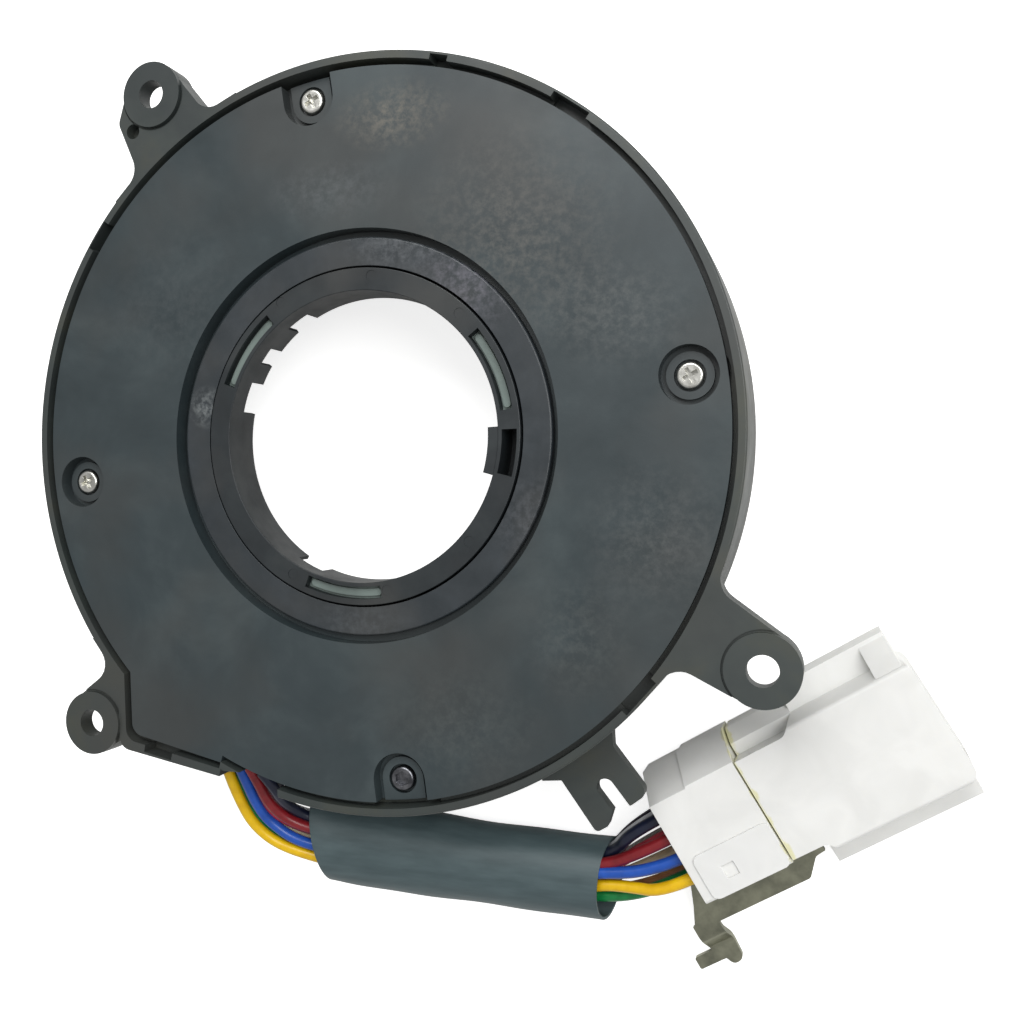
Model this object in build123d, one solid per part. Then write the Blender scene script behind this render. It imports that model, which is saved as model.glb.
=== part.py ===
from build123d import *
import os
from math import atan2, cos, degrees, hypot, pi, radians, sin, tan

# Steering clock spring, lying on its wheel side with the column side up.
# Origin: on the steering axis, level with the surface that the part lies on. +Z points to the column.
# Places on the case are written as an angle around the axis and a distance beyond the case wall,
# and outline corners add the radius of the corner.

# Heights, from the lying surface upwards
collar_height = 8.6          # hub collar and sockets below the rotor disc
disc_thickness = 2.0         # front disc of the rotor
disc_gap = 0.6               # running gap between disc and case floor
floor_thickness = 1.6        # floor of the stator case
chamber_height = 9.7         # room for the flat cable
cover_thickness = 2.0
cover_recess = 0.5           # cover lies this far below the rim of the case

disc_top = collar_height + disc_thickness
floor_bottom = disc_top + disc_gap
floor_top = floor_bottom + floor_thickness
cover_bottom = floor_top + chamber_height
cover_top = cover_bottom + cover_thickness
rim_top = cover_top + cover_recess

# Stator case
case_radius = 55.4
rim_width = 1.2              # lip that frames the cover
cover_gap = 0.8              # dark line between lip and cover
seat_width = 1.5             # ledge that the cover rests on
skirt_drop = 1.8             # skirt around the rotor disc, below the case floor
skirt_wall = 2.6
disc_edge_gap = 0.6          # skirt to rotor disc
floor_hole_gap = 0.6         # case floor to rotor drum
cover_radius = case_radius - rim_width - cover_gap
wall_inner = cover_radius - seat_width

# Terminal house, the square corner of the case where the wires leave
house_corner = (230.1, 7.85)
house_end = (246.3, 0.93)
house_root = (225.0, -13.0)
house_corner_radius = 2.0
house_side_lean = 0.6
house_end_lean = 1.2
house_depth = 6.6
house_wall = 1.9
window_reach = (-4.8, 6.0)   # opening in the wall for the wires, from the end of the house
window_height = 7.8
lip_break_reach = (0.3, 10.0)  # the lip is missing here, above the wires
lip_break_drop = 3.0
lip_notches = [(54.2, 6.0), (76.2, 2.7), (143.7, 4.9), (319.5, 6.0)]  # angle and width, for snap hooks
notch_depth = 0.8
notch_drop = 3.2
house_notch = (235.4, 3.6)
house_notch_size = (5.0, 1.6)

# Mounting ears: boss centre, then the corners of the flat plate between boss and case
boss_radius = 5.0
boss_rise = 0.5              # boss face above the rim
ear_thickness = 4.0
ear_root_radius = 3.0
ear_hole_radius = 2.12
ear_hole_length = 2.9
ear_relief_radius = 3.4      # wider room below each hole
groove_width = 0.35          # fine ring around each boss
boss_overlap = 0.15          # boss stands this far over the edge of the plate
ear_top_left = ((122.5, 7.68), [(126.1, 10.67, 0), (129.1, 8.23, 1.5), (131.1, 1.16, 0), (131.8, -4.4, 0),
                                (115.6, -4.4, 0), (116.6, 0.95, 0), (118.0, 7.32, 0)])
ear_bottom_left = ((224.6, 8.52), [(220.1, 8.68, 0), (220.5, 1.06, 0), (219.2, -3.16, 0), (229.8, 4.2, 0),
                                   (229.6, 6.6, 0), (227.3, 12.54, 0)])
ear_right = ((331.6, 9.88), [(338.2, 0.16, 0), (335.9, 10.54, 0), (327.2, 10.06, 0), (326.3, 1.57, 0),
                             (324.8, -1.58, 0)])
blind_hole = (128.0, 5.51)   # small blind locating hole beside the top left boss
blind_hole_radius = 1.15
blind_hole_depth = 2.0

# Wire hook on the outside of the case, with its open slot
hook_top = 18.5
hook_thickness = 2.2
hook_corners = [(298.4, -0.81, 0), (298.2, 0.88, 0), (300.8, 2.0, 0), (301.5, 10.6, 0.7), (303.2, 10.6, 0.5),
                (304.9, 9.0, 0.5), (307.2, 9.8, 1.2), (309.8, 9.8, 1.2), (310.0, 1.88, 0.6), (311.4, 0.07, 0),
                (308.8, -2.77, 0)]
hook_slot_start = (305.7, 5.86)
hook_slot_end = (306.0, 12.05)
hook_slot_width = 2.5

# Cover screws: angle, distance in from the edge of the cover, and whether the pocket is open to the rim
screw_places = [("right", 8.8, 5.0, False), ("top", 98.6, 3.0, True),
                ("left", 187.7, 5.2, False), ("bottom", 277.8, 3.1, True)]
post_radius = 3.0
pocket_radius = 4.0
pad_radius = 3.2
pocket_depth = 2.9           # pocket floor below the rim
pad_rise = 0.9               # raised pad inside the pocket
cup_wall = 1.0
screw_head_radius = 1.85
screw_head_height = 1.3
screw_head_rounding = 0.45
screw_shank_radius = 1.05
screw_length = 7.5
screw_clearance = 0.15
drive_size = 2.2
drive_width = 0.6
drive_depth = 0.8

# Rotor parts around the steering column
hub_inset = 34.0             # case wall to the passage for the steering column
cam_tube_wall = 0.55
cam_depth = 7.2              # height of the cam ring
cam_plate = 1.6
cam_outer_wall = 0.5
cam_recess = 1.3             # cam ring face below the rim
ring_line = 0.3              # fine gap between cam ring and retaining sleeve
cam_ring_width = 3.3
claw_count = 3               # claws of the clip ring in their slots, evenly spaced
slot_first_angle = 24.0
slot_span = 30.5
slot_width = 1.85
claw_span = 26.5
claw_width = 1.05
claw_recess = 1.0            # claws end this far below the face of the cam ring
clip_ring_height = 1.0
clip_play = 0.1
tab_angle, tab_span = -6.2, 18.5
tab_reach = 1.5              # cancelling tab stands into the bore
tab_seat = 0.3               # tab wall grows out of the tube wall
tab_top_gap = 0.2
pocket_margin = 1.2
tab_web = 1.5
valley_height = 3.5          # notches in the lower edge of the cam ring
valleys = [(123.0, 9.5), (143.0, 7.0), (162.0, 12.0), (243.5, 11.0)]
valley_draft = 1.6           # degrees that each flank leans
key_span, key_height = 5.0, 2.5  # keys that centre the cam ring in the sleeve

flange_recess = 1.6          # sleeve face below the rim
flange_width = 4.2
flange_thickness = 1.6
flange_rounding = 0.3
flange_gap = 1.05            # around the flange, to the edge of the cover hole
lip_play = 0.2               # axial play between flange and cover lip
lip_thickness = 1.4
lip_clearance = 0.6          # sleeve to cover lip
hub_wall = 1.5
sleeve_wall = 1.8
web_thickness = 1.6
web_seat_gap = 0.3
drum_clearance = 1.45        # cover to drum
drum_wall = 1.6
drum_top_gap = 1.5           # drum ends this far below the cover
web_rib_count = 12
web_rib_width = 1.0
web_rib_height = 1.6
web_rib_gap = 0.5            # sleeve to ribs

bore_radius = case_radius - hub_inset
cam_outer = bore_radius + cam_ring_width
slot_inner = bore_radius + cam_tube_wall
sleeve_inner = cam_outer + ring_line
lip_inner = sleeve_inner + sleeve_wall + lip_clearance
flange_radius = sleeve_inner + flange_width
cam_top = rim_top - cam_recess
cam_bottom = cam_top - cam_depth
flange_top = rim_top - flange_recess
flange_bottom = flange_top - flange_thickness
lip_top = flange_bottom - lip_play
lip_bottom = lip_top - lip_thickness
cover_hole = flange_radius + flange_gap
drum_inner = cover_hole + hub_wall + drum_clearance
web_top = cam_bottom - web_seat_gap
drum_outer = drum_inner + drum_wall
disc_radius = case_radius - skirt_wall - disc_edge_gap

# Flat cable, its guides and its terminal blocks
ribbon_half_turns = 9
ribbon_pitch = 1.15
ribbon_thickness = 0.35
ribbon_height = 8.4
ribbon_tail = 24.0           # straight lead from the last turn to the terminal block
sheet_thickness = 0.3
sheet_gap = 0.8              # slide sheets to drum
sheet_width = 7.4
guide_gap = 0.3
stator_block_width = 4.3     # wall of the case to the inner side of the terminal block
stator_block_height = 8.2
nose_height = 7.0            # nose of the terminal block, in the wire window
nose_setback = 6.8           # nose ends this far inside the case
block_span = 16.0            # rotor terminal block, degrees around the drum
block_angle = 32.0
block_lead = 8.0             # degrees from the start of the cable to the middle of the block
block_depth = 1.7
block_margins = (0.9, 1.6)   # below and above the block
stator_block_radius = wall_inner - stator_block_width
nose_face_y = -(case_radius - nose_setback)

# Sockets on the wheel side: angle around the axis, size along and across, pins
socket_inset = 9.0           # middle of the sockets, in from the edge of the disc
socket_wall = 1.2
socket_corner = 1.6
airbag_socket_size = (17.0, 11.0)
airbag_socket_angle = 95.0
airbag_pin_counts = (2, 2)
switch_socket_size = (26.0, 11.0)
switch_socket_angle = 262.0
switch_pin_counts = (6, 2)
pin_pitch = 3.2
pin_width = 0.64
pin_length = 3.2
socket_distance = disc_radius - socket_inset

# Harness: eleven wires in a bundle of four columns and three layers
wire_diameter = 1.8
column_step = 2.3
layer_step = 2.3
column_count = 4
turn_reach = 10.1            # middle of the wires' turn, beyond the end of the house
turn_inset = 0.65
exit_height = 16.35          # middle layer where the wires leave the case
inner_turn = 6.4             # radius of the first column's turn
sleeve_start_x = -11.2
sleeve_end_x = 33.8
sleeve_distances = (9.2, 11.7)  # middle of the sleeve beyond the case, at its start and its end
sleeve_z = (8.6, 5.6)
sleeve_half_widths = (7.1, 6.7, 6.4, 6.4)
sleeve_half_heights = (5.1, 5.1, 5.2, 5.3)
sleeve_slants = (8.0, 0.0)   # degrees that each end is cut off square
sleeve_tilts = (0.0, 12.0)
tube_wall = 0.5
exit_drops = (1.7, 6.3)      # the bundle falls this far by the start and the end of its turn
bundle_stations = (-5.0, 8.0, 21.0, 33.5)
bundle_squeeze = 0.1         # columns lie this share closer at the far end of the sleeve
terminal_radius = 0.75
terminal_depth = 0.5         # crimp barrels in the nose of the block
wire_places = {
    "wire_navy": (0, 1), "wire_white_thin": (0, 0), "wire_black": (0, -1),
    "wire_dark_red": (1, 1), "wire_pink": (1, 0), "wire_white": (1, -1),
    "wire_blue": (2, 1), "wire_cream": (2, -1),
    "wire_yellow": (3, 1), "wire_green": (3, 0), "wire_brown": (3, -1),
}

# Pigtail connector, in a frame of its own: u along it, v across, w up
connector_centre = (56.8, -52.4)
connector_turn = 31.8
connector_base = 0.3
connector_height = 12.7
edge_rounding = 0.6
header_pin_counts = (4, 3)
header_pin_length = 6.0
header_layer_step = 2.8
mouth_depth = 16.0
mouth_near, mouth_far = 7.0, 7.3
mouth_floor, mouth_roof = 1.6, 1.5
main_length = 27.1
main_near, main_far = 9.0, 8.3
main_draft = 0.9             # far wall leans out by this much down to the flange
main_end_corner = 1.8
step_near, step_far = 7.8, 7.4   # the top is narrower beside the wire side
step_near_length, step_far_length = 5.2, 7.8
step_run = 1.9               # length of the slanting ends of both steps
ledge_height, ledge_far = 8.0, 9.2
slope_height, slope_far = 5.2, 11.2
flange_height, flange_far = 7.4, 13.1
rail_height, rail_near, rail_start = 5.2, 12.6, 4.2
rail_end_gap = 0.9
gusset_start, gusset_end = 22.4, 26.2
wire_side_length = 14.0
wire_side_seam = 0.25
wire_side_near, wire_side_far = 8.2, 7.3
wire_side_base = 0.6
wire_slope_height, wire_slope_far = 6.2, 11.2
wire_flare, wire_flare_length = 0.3, 8.0
cavity_pitch = 3.2
cavity_radius = 1.25
cavity_depth = 6.0
cavity_entry = 0.9           # wires end this far inside the housing
contact_clearance = 0.25
wire_lead = 5.6              # straight run of each wire before its cavity
latch_size = (12.3, 6.7)
latch_corner = 1.1
latch_rise = 0.35
latch_window = 1.9
latch_window_place = (-8.3, -5.2)

# Steel bracket clipped to the underside of the connector
sheet = 1.0
bracket_height = 3.0         # plate above the lying surface
bracket_corners = [(-16.9, -6.4, 0), (-18.4, -9.8, 2.0), (-20.3, -13.4, 0.3), (-0.9, -13.4, 0.8),
                   (1.4, -11.0, 0.8), (3.0, -10.8, 0), (3.0, -6.4, 0)]
slot_play = 0.1              # bracket plate in the slot of the housings
fold_ends = (-19.6, -1.3)    # folded edge of the plate
fold_rounding = 0.8
bracket_tab = (-20.2, -16.2)
tab_profile = [(-12.6, 3.7, 0), (-14.9, 3.7, 2.0), (-17.0, 1.2, 1.0), (-17.8, 1.2, 0), (-17.8, 0.2, 0),
               (-16.4, 0.2, 1.6), (-14.3, 2.7, 1.0), (-12.6, 2.7, 0)]
foot_corners = [(-23.2, -19.3, 0.3), (-18.8, -19.3, 0), (-18.2, -20.6, 0.9), (-16.4, -20.4, 1.0),
                (-16.2, -17.4, 0), (-23.2, -17.4, 0.3)]
foot_rise = 0.2


def disc(radius, z0, z1):
    return Pos(0, 0, z0) * extrude(Circle(radius), z1 - z0)


def ring(outer, inner, z0, z1):
    return Pos(0, 0, z0) * extrude(Circle(outer) - Circle(inner), z1 - z0)


def rounded(corners):
    """Closed outline from corners (x, y, corner radius)."""
    face = make_face(Polyline(*[(x, y) for x, y, radius in corners], close=True))
    for x, y, radius in corners:
        if radius:
            face = fillet(face.vertices().sort_by_distance((x, y, 0))[0], radius)
    return face


def plate(outline, z0, z1):
    return Pos(0, 0, z0) * extrude(outline, z1 - z0)


def at_angle(angle, distance):
    return (distance * cos(radians(angle)), distance * sin(radians(angle)))


def on_case(angle, beyond):
    return at_angle(angle, case_radius + beyond)


def case_corners(corners):
    return [(*on_case(angle, beyond), radius) for angle, beyond, radius in corners]


def sector(radius, angle, span, z0, z1):
    """Wedge of a disc, centred on an angle in degrees."""
    reach = [at_angle(angle + turn, radius) for turn in (-span / 2, 0, span / 2)]
    edge = ThreePointArc(*reach)
    face = make_face([Line((0, 0), reach[0]), edge, Line(reach[2], (0, 0))])
    return plate(face, z0, z1)


def arc_wall(outer, inner, angle, span, z0, z1):
    return ring(outer, inner, z0, z1) & sector(2 * outer, angle, span, z0, z1)


def house_shape(inset):
    """Corner of the terminal house, set in from the outside wall."""
    x, y = on_case(*house_corner)
    end_x, end_y = on_case(*house_end)
    root_x, root_y = on_case(*house_root)
    slope = (end_y - y) / (end_x - x)
    corner = (x + inset, y + inset * (1 - slope), house_corner_radius)
    return rounded([(x + inset - house_side_lean, root_y, 0), corner, (end_x, end_y + inset, 0),
                    (end_x + house_end_lean, end_y + house_depth, 0), (root_x, root_y, 0)])


def case_outline(radius, inset):
    return Circle(radius) + house_shape(inset)


def screw_centre(place):
    name, angle, inset, open_to_rim = place
    return at_angle(angle, cover_radius - inset)


def pocket_outline(place, radius):
    """Round screw pocket, or one that runs out to the rim."""
    name, angle, inset, open_to_rim = place
    outline = Pos(*screw_centre(place)) * Circle(radius)
    if open_to_rim:
        middle = cover_radius - inset + radius
        outline += Rot(0, 0, angle) * Pos(middle, 0) * Rectangle(2 * radius, 2 * radius)
    return outline


def make_ear(ear):
    """Flat ear with a round boss, blended into the case wall, and the fine ring around the boss."""
    centre, corners = ear
    x, y = on_case(*centre)
    outline = Circle(case_radius) + rounded(case_corners(corners))
    outline += Pos(x, y) * Circle(boss_radius - boss_overlap)
    blended = offset(offset(outline, ear_root_radius), -ear_root_radius)
    body = plate(blended, rim_top - ear_thickness, rim_top)
    body += Pos(x, y) * disc(boss_radius, rim_top - ear_thickness, rim_top + boss_rise)
    groove = Pos(x, y) * ring(boss_radius + groove_width, boss_radius, rim_top - groove_width, rim_top + 1)
    return body - groove


def cut_ear_hole(shell, ear):
    x, y = on_case(*ear[0])
    hole_foot = rim_top + boss_rise - ear_hole_length
    shell -= Pos(x, y) * disc(ear_hole_radius, hole_foot - 1, rim_top + 2)
    return shell - Pos(x, y) * disc(ear_relief_radius, rim_top - 2 * ear_thickness, hole_foot)


def make_hook():
    start, end = on_case(*hook_slot_start), on_case(*hook_slot_end)
    run_x, run_y = end[0] - start[0], end[1] - start[1]
    slot = Pos(hypot(run_x, run_y) / 2, 0) * Rectangle(hypot(run_x, run_y), hook_slot_width)
    slot += Circle(hook_slot_width / 2)
    slot = Pos(*start) * Rot(0, 0, degrees(atan2(run_y, run_x))) * slot
    return plate(rounded(case_corners(hook_corners)) - slot, hook_top - hook_thickness, hook_top)


def box_from(x, length, y, depth, z, height):
    """Box along x from its start, centred on y, upwards from its base."""
    return Pos(x, y, z) * Box(length, depth, height, align=(Align.MIN, Align.CENTER, Align.MIN))


def make_stator_case():
    shell = plate(case_outline(case_radius, 0), floor_bottom, rim_top)
    shell += ring(case_radius, case_radius - skirt_wall, floor_bottom - skirt_drop, floor_bottom)
    ears = (ear_top_left, ear_bottom_left, ear_right)
    for ear in ears:
        shell += make_ear(ear)
    shell += make_hook()
    shell -= plate(case_outline(wall_inner, house_wall + seat_width), floor_top, cover_bottom)
    shell -= plate(case_outline(cover_radius + cover_gap, rim_width), cover_bottom, rim_top + boss_rise)
    shell -= disc(drum_outer + floor_hole_gap, floor_bottom - 1, floor_top + 1)
    post_top = rim_top - pocket_depth - cup_wall
    for place in screw_places:
        centre = Pos(*screw_centre(place))
        post = centre * disc(post_radius, floor_top - floor_thickness / 2, post_top)
        hole = centre * disc(screw_shank_radius + screw_clearance, floor_bottom - 1, post_top + 1)
        cup_room = plate(pocket_outline(place, pocket_radius + cup_wall + guide_gap), post_top, cover_bottom)
        shell = shell + post - (cup_room & disc(case_radius - rim_width, post_top, cover_bottom)) - hole
    for ear in ears:
        shell = cut_ear_hole(shell, ear)
    shell -= Pos(*on_case(*blind_hole)) * disc(blind_hole_radius, rim_top - blind_hole_depth, rim_top + 1)
    for angle, width in lip_notches:
        start = cover_radius + cover_gap - notch_depth
        notch = box_from(start, 2 * notch_depth, 0, width, rim_top - notch_drop, 2 * notch_drop)
        shell -= Rot(0, 0, angle) * notch
    end_x, end_y = on_case(*house_end)
    corner_x, corner_y = on_case(*house_corner)
    wall_angle = degrees(atan2(end_y - corner_y, end_x - corner_x))
    notch = Box(house_notch_size[0], house_notch_size[1], 2 * notch_drop)
    shell -= Pos(*on_case(*house_notch), rim_top) * Rot(0, 0, wall_angle) * notch
    window_start, window_end = window_reach
    shell -= box_from(end_x + window_start, window_end - window_start,
                      end_y, 2 * house_depth, floor_top, window_height)
    break_start, break_end = lip_break_reach
    break_bottom = floor_top + window_height - lip_break_drop
    shell -= box_from(end_x + break_start, break_end - break_start,
                      end_y - 2 * rim_width, house_depth, break_bottom, 2 * window_height)
    return shell


def make_rear_cover():
    face = case_outline(cover_radius, rim_width + cover_gap) - Circle(cover_hole)
    body = plate(face, cover_bottom, cover_top)
    body += ring(cover_hole + hub_wall, cover_hole, lip_bottom, cover_bottom)
    body += ring(cover_hole + hub_wall, lip_inner, lip_bottom, lip_top)
    edge = disc(cover_radius, 0, 2 * rim_top)
    floor_z = rim_top - pocket_depth
    for place in screw_places:
        body += plate(pocket_outline(place, pocket_radius + cup_wall), floor_z - cup_wall, cover_top) & edge
        body -= plate(pocket_outline(place, pocket_radius), floor_z, rim_top)
        body += plate(pocket_outline(place, pad_radius), floor_z, floor_z + pad_rise) & edge
        centre = Pos(*screw_centre(place))
        body -= centre * disc(screw_shank_radius + screw_clearance, floor_z - 2 * cup_wall, rim_top)
        body -= centre * disc(screw_head_radius + 2 * screw_clearance, floor_z, rim_top)
    return body


def make_screw(place, recess):
    seat = rim_top - pocket_depth
    head = disc(screw_head_radius, seat, seat + screw_head_height)
    head = fillet(head.edges().group_by(Axis.Z)[-1], screw_head_rounding)
    shank = disc(screw_shank_radius, seat - screw_length, seat)
    if recess == "cross":
        slot = Rectangle(drive_size, drive_width)
        outline = slot + Rot(0, 0, 90) * slot
    else:
        outline = RegularPolygon(drive_size / 2, 6)
    top = seat + screw_head_height
    return Pos(*screw_centre(place)) * (head + shank - plate(outline, top - drive_depth, top + drive_depth))


def make_cam_ring():
    """Cancelling cam ring: channel section with claw slots, castellated lower edge and a tab."""
    body = ring(cam_outer, bore_radius, cam_top - cam_plate, cam_top)
    body += ring(slot_inner, bore_radius, cam_bottom, cam_top)
    body += ring(cam_outer, cam_outer - cam_outer_wall, cam_bottom, cam_top)
    for step in range(claw_count):
        angle = slot_first_angle + 360 / claw_count * step
        body -= arc_wall(slot_inner + slot_width, slot_inner, angle, slot_span, cam_bottom, cam_top + 1)
    pocket = arc_wall(cam_outer - cam_outer_wall, slot_inner, tab_angle, tab_span - 2 * pocket_margin,
                      cam_bottom + tab_web, cam_top + 1)
    tab_inner = bore_radius - tab_reach
    tab = arc_wall(bore_radius + tab_seat, tab_inner, tab_angle, tab_span, cam_bottom, cam_top - tab_top_gap)
    web = arc_wall(cam_outer, tab_inner, tab_angle, tab_span, cam_bottom, cam_bottom + tab_web)
    body = body - pocket + tab + web
    for angle, span in valleys:
        body -= valley_cutter(angle, span)
    for step in range(claw_count):
        angle = slot_first_angle + 180 / claw_count + 360 / claw_count * step
        body += arc_wall(sleeve_inner, cam_outer - cam_outer_wall, angle, key_span,
                         cam_bottom, cam_bottom + key_height)
    return body


def valley_cutter(angle, span):
    """Notch that widens towards the lower edge."""
    radius = (bore_radius + cam_outer) / 2
    top_half = radius * radians(span / 2 - valley_draft / 2)
    foot_half = radius * radians(span / 2 + valley_draft / 2)
    low, high = cam_bottom - 1, cam_bottom + valley_height
    corners = [(-foot_half, low), (foot_half, low), (top_half, high), (-top_half, high)]
    face = make_face(Polyline(*corners, close=True))
    cutter = extrude(Plane.YZ * face, cam_ring_width, both=True)
    return Rot(0, 0, angle) * Pos(radius, 0, 0) * cutter


def make_clip_ring():
    """Natural acetal ring in the channel of the cam ring, with three claws that show in its slots."""
    base_z = cam_top - cam_plate - clip_ring_height
    outer = cam_outer - cam_outer_wall - clip_play
    body = ring(outer, slot_inner + clip_play, base_z, base_z + clip_ring_height)
    claw_middle = slot_inner + slot_width / 2
    for step in range(claw_count):
        angle = slot_first_angle + 360 / claw_count * step
        body += arc_wall(claw_middle + claw_width / 2, claw_middle - claw_width / 2, angle, claw_span, base_z,
                         cam_top - claw_recess)
    return body - arc_wall(cam_outer, bore_radius, tab_angle, tab_span, base_z - 1, cam_top)


def make_retaining_sleeve():
    body = ring(flange_radius, sleeve_inner, flange_bottom, flange_top)
    body += ring(sleeve_inner + sleeve_wall, sleeve_inner, web_top, flange_bottom)
    rims = body.edges().filter_by(GeomType.CIRCLE).group_by(Axis.Z)[-1]
    return fillet(rims.sort_by(SortBy.RADIUS)[-1], flange_rounding)


def make_front_rotor():
    web_inner = sleeve_inner + clip_play
    body = ring(drum_outer, drum_inner, 0, cover_bottom - drum_top_gap)
    body += ring(drum_outer, web_inner, web_top - web_thickness, web_top)
    body += ring(disc_radius, drum_inner, collar_height, disc_top)
    rib_start = sleeve_inner + sleeve_wall + web_rib_gap
    rib_length = drum_inner + drum_wall / 2 - rib_start
    rib = box_from(rib_start, rib_length, 0, web_rib_width, web_top, web_rib_height)
    for step in range(web_rib_count):
        body += Rot(0, 0, 360 / web_rib_count * (step + 0.5)) * rib
    return body


def socket_frame(angle):
    x, y = at_angle(angle, socket_distance)
    return Pos(x, y) * Rot(0, 0, angle - 90)


def make_socket(size, angle):
    outer = RectangleRounded(size[0], size[1], socket_corner)
    inner = RectangleRounded(size[0] - 2 * socket_wall, size[1] - 2 * socket_wall,
                             socket_corner - socket_wall / 2)
    shroud = extrude(outer, collar_height) - extrude(inner, collar_height - socket_wall)
    return socket_frame(angle) * shroud


def make_pins(counts, angle):
    pins = []
    for location in GridLocations(pin_pitch, pin_pitch, *counts):
        pin = location * Box(pin_width, pin_width, pin_length, align=(Align.CENTER, Align.CENTER, Align.MAX))
        pins.append(socket_frame(angle) * Pos(0, 0, collar_height - socket_wall) * pin)
    return Compound(children=pins)


def spiral_band(first_radius, z0, z1):
    """Band of half circles about two centres, one pitch further out each turn, with a straight tail."""
    outer, inner = [], []
    half = ribbon_thickness / 2
    for index in range(ribbon_half_turns):
        radius = first_radius + index * ribbon_pitch / 2
        centre = (-1) ** (index + 1) * ribbon_pitch / 4
        outer.append(CenterArc((centre, 0), radius + half, 180 * (index % 2), 180))
        inner.append(CenterArc((centre, 0), radius - half, 180 * (index % 2), 180))
    far, near = outer[-1] @ 1, inner[-1] @ 1
    far_end, near_end = far - (0, ribbon_tail), near - (0, ribbon_tail)
    ends = [Line(outer[0] @ 0, inner[0] @ 0), Line(far, far_end),
            Line(far_end, near_end), Line(near_end, near)]
    return plate(make_face(outer + inner + ends), z0, z1)


def make_ribbon_cable():
    """Flat cable, coiled in the chamber, with its lead to the terminal block."""
    first = drum_outer + block_depth + guide_gap + ribbon_pitch / 4 + ribbon_thickness / 2
    base = floor_top + sheet_thickness
    coil = Rot(0, 0, block_angle) * spiral_band(first, base, base + ribbon_height)
    return coil - make_stator_block()


def make_slide_sheet(z):
    """Film ring that the edges of the flat cable run on."""
    return ring(drum_outer + sheet_gap + sheet_width, drum_outer + sheet_gap, z, z + sheet_thickness)


def make_rotor_block():
    """Terminal block where the flat cable starts, on the drum."""
    return arc_wall(drum_outer + block_depth, drum_outer, block_angle + block_lead, block_span,
                    floor_top + block_margins[0], cover_bottom - block_margins[1])


def make_stator_block():
    """Terminal block in the house, with a nose in the window for the wires' terminals."""
    body = extrude(house_shape(house_wall + seat_width + guide_gap / 2), stator_block_height)
    nose_x = on_case(*house_end)[0] + window_reach[0] + guide_gap / 2
    nose = Box(window_reach[1] - window_reach[0] - guide_gap, 2 * house_depth, nose_height, align=Align.MIN)
    body += Pos(nose_x, nose_face_y, 0) * nose
    return Pos(0, 0, floor_top) * (body - disc(stator_block_radius, -1, stator_block_height + 1))


def sleeve_axis(x):
    """Middle line of the sleeve: falls and drifts outwards in one gentle bend."""
    share = (x - sleeve_start_x) / (sleeve_end_x - sleeve_start_x)
    rest = (1 - share) ** 2
    start, end = sleeve_distances
    y = -(case_radius + end + (start - end) * rest)
    z = sleeve_z[1] + (sleeve_z[0] - sleeve_z[1]) * rest
    return y, z


def connector_point(u, v, w):
    angle = radians(connector_turn)
    x = connector_centre[0] + u * cos(angle) - v * sin(angle)
    y = connector_centre[1] + u * sin(angle) + v * cos(angle)
    return (x, y, connector_base + w)


def cavity_place(column, layer):
    """Middle of a wire cavity across and above the connector's base."""
    return ((column_count - 1) / 2 - column) * cavity_pitch, connector_height / 2 + layer * cavity_pitch


def wire_route(column, layer):
    """Out of the case, round the turn, along the sleeve and into the connector."""
    turn, rise = inner_turn + column * column_step, layer * layer_step
    middle = inner_turn + (column_count - 1) / 2 * column_step
    cx, cy = on_case(*house_end)[0] + turn_reach, -(case_radius - turn_inset)
    share = tan(radians(22.5)) * turn
    height = exit_height + rise
    points = [(cx - turn, cy + share, height), (cx - turn, cy - share, height - exit_drops[0]),
              (cx - share, cy - turn, height - exit_drops[1])]
    for x in bundle_stations:
        y, z = sleeve_axis(x)
        squeeze = 1 - bundle_squeeze * (x - sleeve_start_x) / (sleeve_end_x - sleeve_start_x)
        points.append((x, y - (turn - middle) * squeeze, z + rise))
    v, w = cavity_place(column, layer)
    points.append(connector_point(-wire_side_length - wire_lead, v, w))
    points.append(connector_point(-wire_side_length + cavity_entry, v, w))
    return points


def corner_radii(points):
    radii = []
    for before, here, after in zip(points, points[1:], points[2:]):
        run_in, run_out = Vector(*here) - Vector(*before), Vector(*after) - Vector(*here)
        half_turn = radians(run_in.get_angle(run_out) / 2)
        radii.append(0.45 * min(run_in.length, run_out.length) / tan(half_turn))
    return radii


def make_wire(name, column, layer):
    points = wire_route(column, layer)
    radii = corner_radii(points)
    path = FilletPolyline(*points, radius=radii)
    section = Plane(origin=path @ 0, z_dir=path % 0) * Circle(wire_diameter / 2)
    tube = sweep(section, path=path)
    expected = pi * wire_diameter ** 2 / 4 * path.length
    print(name, "length %.1f" % path.length, "radii", " ".join("%.1f" % r for r in radii),
          "volume %.1f of %.1f" % (tube.volume, expected))
    return tube


def make_crimp_terminals():
    """Crimp barrels between the terminal block and the wires."""
    barrels = []
    for column, layer in wire_places.values():
        start, following = wire_route(column, layer)[:2]
        back = Vector(*start) - Vector(*following)
        barrel = Plane(origin=start, z_dir=back.normalized()) * Circle(terminal_radius)
        barrels.append(extrude(barrel, nose_face_y + terminal_depth - start[1]))
    return Compound(children=barrels) - make_stator_block()


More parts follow.
